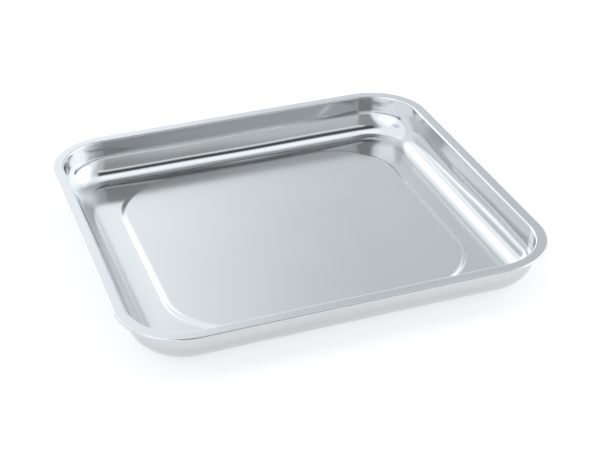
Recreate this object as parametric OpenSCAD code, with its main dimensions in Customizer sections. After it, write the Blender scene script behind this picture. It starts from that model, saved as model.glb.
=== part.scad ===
// Shallow rectangular tray pressed from one sheet of steel.
// The sheet runs from a flat floor with a raised centre panel, up a wide
// bottom radius and a nearly upright wall, over a small bend into a narrow
// flange, and ends in a bead curled round a stiffening wire.
// Origin: centre of the underside. X: length, Y: depth, Z: up. Millimetres.

/* [Overall size] */
// Outside length of the tray, along X
tray_length = 400; // [360:5:460]
// Outside depth of the tray, along Y
tray_depth = 380; // [350:5:440]
// Height from the underside to the top of the flange
tray_height = 38.5; // [34:0.5:60]
// Thickness of the steel sheet
sheet = 0.6; // [0.5:0.1:0.7]

/* [Rim] */
// Plan radius of the outside corners
corner_radius = 61; // [54:1:70]
// Distance from the outside edge to the start of the bend into the wall
flange_width = 9.5; // [8:0.5:12]
// Radius of the bend between flange and wall, on its upper side
lip_radius = 2; // [1.4:0.2:3]
// Outside diameter of the bead along the edge
bead_diameter = 2.8; // [2.6:0.1:3.6]
// Angle left open in the curl, where its end faces the flange
curl_opening = 70; // [60:5:80]

/* [Wall] */
// How far the wall leans outwards between its foot and its top
wall_lean = 0.4; // [0:0.1:1.6]
// Inside radius between wall and floor
floor_radius = 24.4; // [16:0.2:26]

/* [Raised panel] */
// Distance from the tray's left and right edges to the foot of the panel's step
panel_end_margin = 53; // [46:0.5:70]
// Distance from the tray's front and back edges to the foot of the panel's step
panel_side_margin = 46.5; // [46:0.5:70]
// Plan radius of the panel corners at the foot of the step
panel_corner_radius = 67.5; // [50:0.5:80]
// Height of the panel above the floor
panel_height = 2; // [1.2:0.2:3]
// Width of the step between floor and panel
panel_step = 7.5; // [4:0.5:8]

/* [Rim wire] */
// Play between the wire and the inside of the curl
wire_play = 0.05; // [0.03:0.01:0.1]
// Gap between the two cut ends of the wire
wire_gap = 1; // [0.5:0.5:3]

/* [Hidden] */
$fn = 96;

// Overlap of neighbouring flat pieces of the sheet, so that they join
lap = 2;

bead_radius = bead_diameter / 2;
wire_radius = bead_radius - sheet - wire_play;

// Half sizes of the rectangle through the rim's corner centres
rim_half = [tray_length / 2 - corner_radius, tray_depth / 2 - corner_radius];

// Section of the rim, wall and bottom radius.
// Its x runs outwards from the corner centres and its y is height.
bead_centre = [corner_radius - bead_radius, tray_height - bead_radius];
lip_centre = [corner_radius - flange_width, tray_height - lip_radius];
// Distance of the wall's inner side from the corner centres, at its foot
wall_foot = lip_centre[0] - lip_radius - wall_lean;
bottom_centre = [wall_foot - floor_radius, sheet + floor_radius];

// Step of the panel: two equal arcs that meet at the middle of the slope
step_radius = (pow(panel_step, 2) + pow(panel_height, 2)) / (4 * panel_height);
step_angle = 2 * atan(panel_height / panel_step);
// Straight pieces that stand for each of the step's arcs
arc_steps = 8;
// Half sizes of the rectangle through the panel's corner centres
panel_half = [
    tray_length / 2 - panel_end_margin - panel_corner_radius,
    tray_depth / 2 - panel_side_margin - panel_corner_radius
];

// Direction at an angle, as a vector
function ray(angle) = [cos(angle), sin(angle)];

// Wedge of the plane between two angles less than 180 degrees apart
module wedge(from, to, reach) {
    middle = (from + to) / 2;
    far = reach / cos((to - from) / 2);
    polygon([[0, 0], reach * ray(from), far * ray(middle), reach * ray(to)]);
}

// Strip of sheet bent round a centre
module bent_strip(centre, inner, outer, from, to) {
    translate(centre)
        intersection() {
            difference() {
                circle(outer);
                circle(inner);
            }
            wedge(from, to, 2 * outer);
        }
}

// Curl at the edge: a ring with an opening below the flange
module curl_section() {
    translate(bead_centre)
        difference() {
            circle(bead_radius);
            circle(bead_radius - sheet);
            wedge(90, 90 + curl_opening, 2 * bead_radius);
        }
}

// Section of the sheet from the floor to the curl
module rim_section() {
    // Floor, up to the start of the bottom radius
    translate([bottom_centre[0] - lap, 0])
        square([lap, sheet]);
    bent_strip(bottom_centre, floor_radius, floor_radius + sheet, -90, 0);
    // Wall
    polygon([
        [wall_foot, bottom_centre[1]],
        [wall_foot + sheet, bottom_centre[1]],
        [wall_foot + sheet + wall_lean, lip_centre[1]],
        [wall_foot + wall_lean, lip_centre[1]]
    ]);
    bent_strip(lip_centre, lip_radius - sheet, lip_radius, 90, 180);
    // Flange
    translate([lip_centre[0], tray_height - sheet])
        square([bead_centre[0] - lip_centre[0], sheet]);
    curl_section();
}

// Points along an arc, without its first point
function arc(centre, radius, from, to) =
    [for (i = [1:arc_steps]) centre + radius * ray(from + (to - from) * i / arc_steps)];

// Section of the panel's step; x runs outwards from the panel's corner centres
module step_section() {
    foot = panel_corner_radius;
    top = panel_corner_radius - panel_step;
    half = sheet / 2;
    foot_centre = [foot, half + step_radius];
    top_centre = [top, half + panel_height - step_radius];
    polygon(concat(
        [[foot + lap, 0], [foot + lap, sheet], [foot, sheet]],
        arc(foot_centre, step_radius - half, 270, 270 - step_angle),
        arc(top_centre, step_radius + half, 90 - step_angle, 90),
        [[top - lap, sheet + panel_height], [top - lap, panel_height], [top, panel_height]],
        arc(top_centre, step_radius - half, 90, 90 - step_angle),
        arc(foot_centre, step_radius + half, 270 - step_angle, 270)
    ));
}

// Sweeps a section round a rounded rectangle, given by half the sizes of the
// rectangle through its corner centres
module sweep_round(half) {
    for (side = [0, 1])
        rotate(180 * side) {
            translate([half[0], half[1], 0])
                rotate([90, 0, 0])
                    linear_extrude(2 * half[1])
                        children();
            rotate(90)
                translate([half[1], half[0], 0])
                    rotate([90, 0, 0])
                        linear_extrude(2 * half[0])
                            children();
            translate([half[0], half[1], 0])
                rotate_extrude(angle = 90)
                    children();
            translate([-half[0], half[1], 0])
                rotate(90)
                    rotate_extrude(angle = 90)
                        children();
        }
}

// Flat plate with rounded corners
module rounded_plate(half, radius, thickness) {
    linear_extrude(thickness)
        union() {
            square([2 * half[0], 2 * (half[1] + radius)], center = true);
            square([2 * (half[0] + radius), 2 * half[1]], center = true);
            for (x = [-1, 1], y = [-1, 1])
                translate([x * half[0], y * half[1]])
                    circle(radius);
        }
}

// The whole pan, floor to curl
module tray_pan() {
    color("silver") {
        sweep_round(rim_half)
            rim_section();
        difference() {
            rounded_plate(rim_half, bottom_centre[0], sheet);
            translate([0, 0, -sheet])
                rounded_plate(panel_half, panel_corner_radius, 3 * sheet);
        }
        sweep_round(panel_half)
            step_section();
        translate([0, 0, panel_height])
            rounded_plate(panel_half, panel_corner_radius - panel_step, sheet);
    }
}

// The wire closed inside the curl, one ring with its ends facing each other
// in the middle of the back edge
module rim_wire() {
    color("dimgray")
        difference() {
            sweep_round(rim_half)
                translate(bead_centre)
                    circle(wire_radius);
            translate([0, tray_depth / 2 - bead_radius, bead_centre[1]])
                cube([wire_gap, bead_diameter, bead_diameter], center = true);
        }
}

tray_pan();
rim_wire();
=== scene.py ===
"""Pressed steel tray in a plain white studio. Units are metres."""

import math

import bmesh
import bpy
import numpy as np
from mathutils import Matrix, Vector


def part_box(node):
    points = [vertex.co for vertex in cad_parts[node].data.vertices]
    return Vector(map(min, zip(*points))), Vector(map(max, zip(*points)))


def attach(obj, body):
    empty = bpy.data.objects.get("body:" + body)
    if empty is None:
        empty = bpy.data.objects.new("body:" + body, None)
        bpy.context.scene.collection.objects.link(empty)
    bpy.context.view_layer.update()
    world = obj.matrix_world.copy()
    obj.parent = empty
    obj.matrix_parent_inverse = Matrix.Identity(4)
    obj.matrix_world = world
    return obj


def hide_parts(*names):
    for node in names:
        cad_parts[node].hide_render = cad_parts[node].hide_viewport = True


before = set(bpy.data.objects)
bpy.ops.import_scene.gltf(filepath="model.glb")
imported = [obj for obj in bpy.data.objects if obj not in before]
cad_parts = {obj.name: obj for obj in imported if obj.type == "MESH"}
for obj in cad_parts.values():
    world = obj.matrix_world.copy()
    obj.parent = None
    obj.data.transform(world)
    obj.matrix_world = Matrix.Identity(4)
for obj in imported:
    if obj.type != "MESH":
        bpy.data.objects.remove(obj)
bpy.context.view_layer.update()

MM = 0.001

# ---------------------------------------------------------------- sizes

# The pan's own box gives its length, depth and height.
pan_low, pan_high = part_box("tray_pan")
LENGTH = pan_high.x - pan_low.x
DEPTH = pan_high.y - pan_low.y
HEIGHT = pan_high.z - pan_low.z

SHEET = 0.6 * MM
CORNER_RADIUS = 61 * MM
FLANGE_WIDTH = 9.5 * MM
LIP_RADIUS = 2 * MM
BEAD_RADIUS = 1.4 * MM
CURL_TURN = 290
WALL_LEAN = 0.4 * MM
FLOOR_RADIUS = 24.4 * MM
PANEL_END_MARGIN = 53 * MM
PANEL_SIDE_MARGIN = 46.5 * MM
PANEL_CORNER_RADIUS = 67.5 * MM
PANEL_HEIGHT = 2 * MM
PANEL_STEP = 7.5 * MM
# The floor round the panel sags very slightly between the panel's step and the
# bottom radius: its rise at each of them, its dip between, its slope at the radius
FOOT_RISE = 0.35 * MM
FLOOR_RISE = 0.1 * MM
FLOOR_DIP = 0.14 * MM
FLOOR_SLOPE = 1.6

# Half sizes of the rectangle through the panel's corner centres
PANEL_CENTRES = np.array([LENGTH / 2 - PANEL_END_MARGIN, DEPTH / 2 - PANEL_SIDE_MARGIN])
PANEL_CENTRES -= PANEL_CORNER_RADIUS

# Points of each ring of the mesh: round one corner, and along one side
CORNER_POINTS = 40
SIDE_POINTS = 48
# Pieces of each stretch of the section
RADIUS_PIECES = 36
WALL_PIECES = 10
BEND_PIECES = 12
FLANGE_PIECES = 8
CURL_PIECES = 40
STEP_PIECES = 10
FLOOR_PIECES = 13
# Rings of the flat panel, as shares of its size
PANEL_SHARES = (0.02, 0.1, 0.2, 0.3, 0.4, 0.5, 0.6, 0.7, 0.8, 0.9, 0.96, 0.99)

# Unevenness of the drawn wall: a slow bow, a quicker bow and a ripple. Each has its
# height, how fast it runs along X and Y, how it slants with height, and its shifts
WAVES = (
    {"height": 0.4 * MM, "run": (7.3, 6.1), "slant": (2.2, -1.7), "shift": (0.9, 0.4)},
    {"height": 0.14 * MM, "run": (19, 17), "slant": (-4.1, 3.3), "shift": (1.9, 1.1)},
    {"height": 0.02 * MM, "run": (43, 39), "slant": (5.7, -2.9), "shift": (0, 0.4)},
)
# Shares of the tray's height over which the unevenness fades in and out
FADE_IN = 0.35
FADE_OUT = 0.25


def ray(degrees):
    """Direction at an angle, as a 2-D vector."""
    a = math.radians(degrees)
    return np.array([math.cos(a), math.sin(a)])


def arc(centre, radius, start, end, steps):
    """Points along an arc, first and last included."""
    return [np.asarray(centre) + radius * ray(start + (end - start) * i / steps)
            for i in range(steps + 1)]


def line(start, end, steps):
    """Points between two ends, neither of them included."""
    start, end = np.asarray(start), np.asarray(end)
    return [start + (end - start) * i / steps for i in range(1, steps)]


# ---------------------------------------------------------------- the sheet


def rim_profile():
    """The sheet's upper and lower side from the floor to the curl.

    The first number of a point is its distance outwards from the plan centre
    of a corner, the second its height.
    """
    bead = np.array([CORNER_RADIUS - BEAD_RADIUS, HEIGHT - BEAD_RADIUS])
    lip = np.array([CORNER_RADIUS - FLANGE_WIDTH, HEIGHT - LIP_RADIUS])
    wall_foot = lip[0] - LIP_RADIUS - WALL_LEAN
    radius = FLOOR_RADIUS - FLOOR_RISE
    bottom = np.array([wall_foot - radius, SHEET + FLOOR_RADIUS])
    curl_end = 90 - CURL_TURN

    def side(bottom_radius, lip_radius, bead_radius, flange_z):
        foot = arc(bottom, bottom_radius, FLOOR_SLOPE - 90, 0, RADIUS_PIECES)
        bend = arc(lip, lip_radius, 180, 90, BEND_PIECES)
        wall = line(foot[-1], bend[0], WALL_PIECES)
        flange = line([lip[0], flange_z], [bead[0], flange_z], FLANGE_PIECES)
        curl = arc(bead, bead_radius, 90, curl_end, CURL_PIECES)
        return foot + wall + bend + flange + curl

    upper = side(radius, LIP_RADIUS, BEAD_RADIUS, HEIGHT)
    lower = side(radius + SHEET, LIP_RADIUS - SHEET, BEAD_RADIUS - SHEET, HEIGHT - SHEET)
    return upper, lower


def step_profile():
    """The sheet's upper and lower side across the panel's step, from the panel outwards."""
    radius = (PANEL_STEP ** 2 + PANEL_HEIGHT ** 2) / (4 * PANEL_HEIGHT)
    turn = 2 * math.degrees(math.atan(PANEL_HEIGHT / PANEL_STEP))
    half = SHEET / 2
    middle = half + FOOT_RISE
    top = np.array([PANEL_CORNER_RADIUS - PANEL_STEP, middle + PANEL_HEIGHT - radius])
    foot = np.array([PANEL_CORNER_RADIUS, middle + radius])

    def side(at_top, at_foot):
        upper_part = arc(top, at_top, 90, 90 - turn, STEP_PIECES)
        lower_part = arc(foot, at_foot, 270 - turn, 270, STEP_PIECES)
        return upper_part + lower_part[1:]

    return side(radius + half, radius - half), side(radius - half, radius + half)


def ring(half, radius, z):
    """One closed ring of mesh points: a rounded rectangle at height z.

    half holds half the sizes of the rectangle through the corner centres.
    """
    points = []
    for sx, sy, start in ((1, 1, 0), (-1, 1, 90), (-1, -1, 180), (1, -1, 270)):
        centre = np.array([sx * half[0], sy * half[1]])
        corner = arc(centre, radius, start, start + 90, CORNER_POINTS)
        side_length = 2 * (half[0] if start in (0, 180) else half[1])
        points += corner
        points += line(corner[-1], corner[-1] + side_length * ray(start + 180), SIDE_POINTS)
    xy = np.array(points)
    return np.column_stack([xy, np.full(len(xy), z)])


def unevenness(points):
    """How far the drawn sheet bows outwards at some points, or inwards where negative.

    The wall of a drawn pan springs a little between its corners, and its
    bottom radius isn't quite even. Rim and floor stay true.
    """
    x, y, z = (points / (LENGTH, DEPTH, HEIGHT)).T
    total = 0
    for wave in WAVES:
        along_x = wave["run"][0] * x + wave["slant"][0] * z + wave["shift"][0]
        along_y = wave["run"][1] * y + wave["slant"][1] * z + wave["shift"][1]
        total = total + wave["height"] * np.sin(along_x) * np.cos(along_y)
    return total * np.clip(np.minimum(z / FADE_IN, (1 - z) / FADE_OUT), 0, 1)


def pan_rings():
    """Rings of the whole sheet, from the panel's centre outwards over the upper
    side, round the curl, and back to the centre along the lower side."""
    rim_half = np.array([LENGTH, DEPTH]) / 2 - CORNER_RADIUS
    rim_upper, rim_lower = rim_profile()
    step_upper, step_lower = step_profile()

    def one_side(rim, step):
        rings = []
        panel_edge = step[0]
        for share in PANEL_SHARES:
            rings.append(ring(PANEL_CENTRES * share, panel_edge[0] * share, panel_edge[1]))
        rings += [ring(PANEL_CENTRES, r, z) for r, z in step]
        inner, outer = rings[-1], ring(rim_half, *rim[0])
        for share in np.arange(1, FLOOR_PIECES) / FLOOR_PIECES:
            between = inner + (outer - inner) * share
            between[:, 2] -= FLOOR_DIP * 4 * share * (1 - share)
            rings.append(between)
        centres = ring(rim_half, 0, 0)[:, :2]
        for r, z in rim:
            points = ring(rim_half, r, z)
            outwards = points[:, :2] - centres
            outwards /= np.linalg.norm(outwards, axis=1)[:, None]
            points[:, :2] += outwards * unevenness(points)[:, None]
            rings.append(points)
        return rings

    return one_side(rim_upper, step_upper) + one_side(rim_lower, step_lower)[::-1]


def mark_satin(mesh, verts):
    """Marks the panel, whose finish is softer: 1 on it, falling to 0 across its step."""
    reach = np.abs(verts[:, :2]) - PANEL_CENTRES
    away = np.linalg.norm(np.maximum(reach, 0), axis=1) + np.minimum(reach.max(axis=1), 0)
    share = np.clip((PANEL_CORNER_RADIUS - away) / PANEL_STEP, 0, 1)
    satin = mesh.attributes.new("satin", "FLOAT", "POINT")
    satin.data.foreach_set("value", share.astype(np.float32))


def build_pan():
    """The pan as one closed, smooth mesh."""
    rings = pan_rings()
    count = len(rings[0])
    verts = np.concatenate(rings)
    faces = []
    for i in range(len(rings) - 1):
        for k in range(count):
            n = (k + 1) % count
            faces.append((i * count + k, i * count + n, (i + 1) * count + n, (i + 1) * count + k))
    last = (len(rings) - 1) * count
    faces.append(tuple(range(count - 1, -1, -1)))
    faces.append(tuple(range(last, last + count)))
    mesh = bpy.data.meshes.new("pan_sheet")
    mesh.from_pydata([tuple(v) for v in verts], [], faces)
    bm = bmesh.new()
    bm.from_mesh(mesh)
    bmesh.ops.recalc_face_normals(bm, faces=bm.faces)
    bm.to_mesh(mesh)
    bm.free()
    mesh.shade_smooth()
    mark_satin(mesh, verts)
    pan = bpy.data.objects.new("pan_sheet", mesh)
    bpy.context.scene.collection.objects.link(pan)
    return pan


# ---------------------------------------------------------------- materials

# The sheet: its colours, the roughness of walls and panel, how far grain and clouds
# change that, the grain's depth, and the run of the noises
STEEL_DARK = (0.635, 0.642, 0.65, 1)
STEEL_LIGHT = (0.665, 0.672, 0.68, 1)
WALL_ROUGHNESS = 0.115
PANEL_ROUGHNESS = 0.17
GRAIN_ROUGHNESS = 0.03
CLOUD_ROUGHNESS = 0.02
GRAIN_DEPTH = 0.012 * MM
GRAIN_STRETCH = (1, 14, 14)
GRAIN_SCALE = 90
CLOUD_SCALE = 14
# The wire, in the same way
WIRE_DARK = (0.36, 0.37, 0.38, 1)
WIRE_LIGHT = (0.44, 0.45, 0.46, 1)
WIRE_ROUGHNESS = (0.28, 0.42)
WIRE_DEPTH = 0.02 * MM
WIRE_SCALE = 160
EVEN = (1, 1, 1)
RELIEF_STRENGTH = 0.3


def new_material(name):
    """An empty node material and its Principled shader."""
    material = bpy.data.materials.new(name)
    material.use_nodes = True
    return material, material.node_tree, material.node_tree.nodes["Principled BSDF"]


def noise(tree, place, stretch, scale, detail):
    """Noise over the object, stretched along its axes; returns its 0 to 1 value."""
    mapping = tree.nodes.new("ShaderNodeMapping")
    mapping.inputs["Scale"].default_value = stretch
    tree.links.new(place, mapping.inputs["Vector"])
    node = tree.nodes.new("ShaderNodeTexNoise")
    node.inputs["Scale"].default_value = scale
    node.inputs["Detail"].default_value = detail
    tree.links.new(mapping.outputs[0], node.inputs["Vector"])
    return node.outputs["Fac"]


def mapped(tree, value, low, high):
    """A 0 to 1 value spread over another range."""
    node = tree.nodes.new("ShaderNodeMapRange")
    node.inputs["To Min"].default_value = low
    node.inputs["To Max"].default_value = high
    tree.links.new(value, node.inputs["Value"])
    return node.outputs[0]


def added(tree, first, second):
    """Sum of two values."""
    node = tree.nodes.new("ShaderNodeMath")
    tree.links.new(first, node.inputs[0])
    tree.links.new(second, node.inputs[1])
    return node.outputs[0]


def blend(tree, share, dark, light, socket):
    """Links a colour between two others to a socket."""
    node = tree.nodes.new("ShaderNodeMix")
    node.data_type = "RGBA"
    # A mix node has a pair of sockets for each kind of value; these are its colours
    colours = [i for i in node.inputs if i.type == "RGBA"]
    colours[0].default_value = dark
    colours[1].default_value = light
    tree.links.new(share, node.inputs["Factor"])
    result = [o for o in node.outputs if o.type == "RGBA"][0]
    tree.links.new(result, socket)


def relief(tree, height, depth, shader):
    """Gives a material a fine relief."""
    node = tree.nodes.new("ShaderNodeBump")
    node.inputs["Strength"].default_value = RELIEF_STRENGTH
    node.inputs["Distance"].default_value = depth
    tree.links.new(height, node.inputs["Height"])
    tree.links.new(node.outputs[0], shader.inputs["Normal"])


def stainless_sheet():
    """Bright rolled stainless sheet: polished where it was drawn, softer on the panel."""
    material, tree, shader = new_material("stainless_sheet")
    shader.inputs["Metallic"].default_value = 1.0
    place = tree.nodes.new("ShaderNodeTexCoord").outputs["Object"]
    satin = tree.nodes.new("ShaderNodeAttribute")
    satin.attribute_name = "satin"
    grain = noise(tree, place, GRAIN_STRETCH, GRAIN_SCALE, detail=3)
    cloud = noise(tree, place, EVEN, CLOUD_SCALE, detail=4)

    # The finish itself, rolling grain and faint clouds from handling
    rough = mapped(tree, satin.outputs["Fac"], WALL_ROUGHNESS, PANEL_ROUGHNESS)
    rough = added(tree, rough, mapped(tree, grain, -GRAIN_ROUGHNESS, GRAIN_ROUGHNESS))
    rough = added(tree, rough, mapped(tree, cloud, -CLOUD_ROUGHNESS, CLOUD_ROUGHNESS))
    tree.links.new(rough, shader.inputs["Roughness"])

    blend(tree, cloud, STEEL_DARK, STEEL_LIGHT, shader.inputs["Base Color"])
    relief(tree, grain, GRAIN_DEPTH, shader)
    return material


def steel_wire():
    """Plain drawn wire, dull and slightly mottled."""
    material, tree, shader = new_material("steel_wire")
    shader.inputs["Metallic"].default_value = 1.0
    place = tree.nodes.new("ShaderNodeTexCoord").outputs["Object"]
    mottle = noise(tree, place, EVEN, WIRE_SCALE, detail=4)
    blend(tree, mottle, WIRE_DARK, WIRE_LIGHT, shader.inputs["Base Color"])
    tree.links.new(mapped(tree, mottle, *WIRE_ROUGHNESS), shader.inputs["Roughness"])
    relief(tree, mottle, WIRE_DEPTH, shader)
    return material


# ---------------------------------------------------------------- studio

# The camera looks at CAMERA_AIM. Angles are in degrees, the azimuth from straight in
# front towards +X. Lens and sensor are in millimetres
CAMERA_AZIMUTH = -19.25
CAMERA_ELEVATION = 30.99
CAMERA_DISTANCE = 1.305
CAMERA_ROLL = -0.90
CAMERA_AIM = Vector((0.0036, -0.0232, 0.020))
CAMERA_LENS = 82.77
SENSOR_WIDTH = 36

FLOOR_HALF = 6.0
FLOOR_SHADE = (0.5, 0.5, 0.5, 1)
FLOOR_ROUGHNESS = 0.9
FLOOR_GLOW = 0.57
WHITE = (1, 1, 1, 1)


def make_camera():
    """A long lens at the front left, looking down into the tray."""
    data = bpy.data.cameras.new("camera")
    data.sensor_width = SENSOR_WIDTH
    data.lens = CAMERA_LENS
    data.clip_end = 20
    camera = bpy.data.objects.new("camera", data)
    bpy.context.scene.collection.objects.link(camera)
    a, e = math.radians(CAMERA_AZIMUTH), math.radians(CAMERA_ELEVATION)
    back = Vector((math.sin(a) * math.cos(e), -math.cos(a) * math.cos(e), math.sin(e)))
    turn = back.to_track_quat("Z", "Y").to_matrix()
    turn = turn @ Matrix.Rotation(math.radians(CAMERA_ROLL), 3, "Z")
    camera.matrix_world = Matrix.LocRotScale(CAMERA_AIM + CAMERA_DISTANCE * back, turn, None)
    bpy.context.scene.camera = camera


def make_floor():
    """A plain pale floor, lit a little from below like a light table."""
    mesh = bpy.data.meshes.new("floor")
    corners = [(FLOOR_HALF * x, FLOOR_HALF * y, 0)
               for x, y in ((-1, -1), (1, -1), (1, 1), (-1, 1))]
    mesh.from_pydata(corners, [], [(0, 1, 2, 3)])
    floor = bpy.data.objects.new("floor", mesh)
    bpy.context.scene.collection.objects.link(floor)
    material, _, shader = new_material("floor")
    shader.inputs["Base Color"].default_value = FLOOR_SHADE
    shader.inputs["Roughness"].default_value = FLOOR_ROUGHNESS
    shader.inputs["Emission Color"].default_value = WHITE
    shader.inputs["Emission Strength"].default_value = FLOOR_GLOW
    mesh.materials.append(material)


# Brightness of the plain white tent, and of the cards and gaps in it.
# Places are on the sky seen from the tray, in degrees from straight overhead:
# u to the right (+X), v to the back (+Y). A card has a centre, half sizes, a
# turn, the width of its soft edge and a brightness.
TENT = 1.26
CARDS = (
    # Lit backdrop low at the back, seen in the steps of the panel
    {"at": (0, 84), "half": (75, 18), "turn": 0, "soft": 3, "light": 1.75},
    {"at": (-42, 73), "half": (17, 9), "turn": 0, "soft": 3, "light": 2.3},
    # The open front of the tent, where the camera stands
    {"at": (7, -52), "half": (30, 44), "turn": 0, "soft": 13, "light": 0.7},
    # Camera stand and photographer
    {"at": (-4, -46), "half": (20, 38), "turn": -7, "soft": 6, "light": 0.4},
    # Gap overhead between the tent and its front, and the bright edge of the front
    {"at": (8, -13), "half": (18, 8), "turn": 8, "soft": 3, "light": 0.08},
    {"at": (17, -26), "half": (11, 4), "turn": -5, "soft": 2, "light": 1.0},
    # Lamps behind the cloth, left and right
    {"at": (-58, -28), "half": (20, 27), "turn": 0, "soft": 10, "light": 1.6},
    {"at": (66, -12), "half": (20, 32), "turn": 13, "soft": 11, "light": 2.1},
    # Brighter and darker parts of the back
    {"at": (-17, 55), "half": (17, 9), "turn": -25, "soft": 4, "light": 1.75},
    {"at": (-28, 50), "half": (5, 9), "turn": -10, "soft": 3, "light": 1.25},
    {"at": (26, 42), "half": (14, 18), "turn": -17, "soft": 8, "light": 0.75},
    {"at": (41, 63), "half": (10, 7), "turn": 0, "soft": 3, "light": 0.8},
    {"at": (-43, 54), "half": (7, 5), "turn": -15, "soft": 3, "light": 0.7},
    {"at": (-53, 8), "half": (6, 10), "turn": 0, "soft": 6, "light": 0.8},
    # Lamp overhead
    {"at": (6, 9), "half": (15, 5), "turn": 0, "soft": 5, "light": 1.5},
)
# Shade of the tent's light, a little blue
TINT = (0.95, 1.0, 1.035, 1)


class Sky:
    """Builds the world's brightness from cards, as a chain of shader nodes."""

    def __init__(self, tree):
        self.tree = tree
        direction = tree.nodes.new("ShaderNodeTexCoord").outputs["Generated"]
        parts = tree.nodes.new("ShaderNodeSeparateXYZ")
        tree.links.new(direction, parts.inputs[0])
        x, y, z = parts.outputs
        away = self.math("MULTIPLY", self.math("ARCCOSINE", z), math.degrees(1))
        flat = self.math("SQRT", self.math("ADD", self.math("MULTIPLY", x, x),
                                           self.math("MULTIPLY", y, y)))
        stretch = self.math("DIVIDE", away, self.math("MAXIMUM", flat, 1e-4))
        self.u = self.math("MULTIPLY", x, stretch)
        self.v = self.math("MULTIPLY", y, stretch)
        self.light = None

    def math(self, operation, *values):
        """A math node; returns its output."""
        node = self.tree.nodes.new("ShaderNodeMath")
        node.operation = operation
        for socket, value in zip(node.inputs, values):
            if isinstance(value, bpy.types.NodeSocket):
                self.tree.links.new(value, socket)
            else:
                socket.default_value = value
        return node.outputs[0]

    def window(self, place, half, soft):
        """1 inside a strip, 0 outside it, with a soft edge."""
        node = self.tree.nodes.new("ShaderNodeMapRange")
        node.interpolation_type = "SMOOTHSTEP"
        self.tree.links.new(self.math("ABSOLUTE", place), node.inputs["Value"])
        node.inputs["From Min"].default_value = max(half - soft, 0)
        node.inputs["From Max"].default_value = half + soft
        node.inputs["To Min"].default_value = 1
        node.inputs["To Max"].default_value = 0
        return node.outputs[0]

    def add(self, card):
        """Lays one card over those before it."""
        turn = math.radians(card["turn"])
        du = self.math("SUBTRACT", self.u, card["at"][0])
        dv = self.math("SUBTRACT", self.v, card["at"][1])
        across = self.math("ADD", self.math("MULTIPLY", du, math.cos(turn)),
                           self.math("MULTIPLY", dv, math.sin(turn)))
        along = self.math("SUBTRACT", self.math("MULTIPLY", dv, math.cos(turn)),
                          self.math("MULTIPLY", du, math.sin(turn)))
        mask = self.math("MULTIPLY", self.window(across, card["half"][0], card["soft"]),
                         self.window(along, card["half"][1], card["soft"]))
        step = self.math("MULTIPLY", self.math("SUBTRACT", card["light"], self.light), mask)
        self.light = self.math("ADD", self.light, step)


def make_world():
    """A white tent lit from outside, open at the camera's side."""
    world = bpy.data.worlds.new("studio")
    bpy.context.scene.world = world
    world.use_nodes = True
    background = world.node_tree.nodes["Background"]
    sky = Sky(world.node_tree)
    # The tent's own brightness, as an output for the cards to change
    sky.light = sky.math("ADD", TENT, 0.0)
    for card in CARDS:
        sky.add(card)
    background.inputs["Color"].default_value = TINT
    world.node_tree.links.new(sky.light, background.inputs["Strength"])


# ---------------------------------------------------------------- scene

make_camera()
make_floor()
make_world()

pan = build_pan()
pan.data.materials.append(stainless_sheet())
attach(pan, "root")
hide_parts("tray_pan")

wire_material = steel_wire()
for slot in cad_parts["rim_wire"].material_slots:
    slot.material = wire_material

bpy.context.scene.view_settings.view_transform = "Standard"
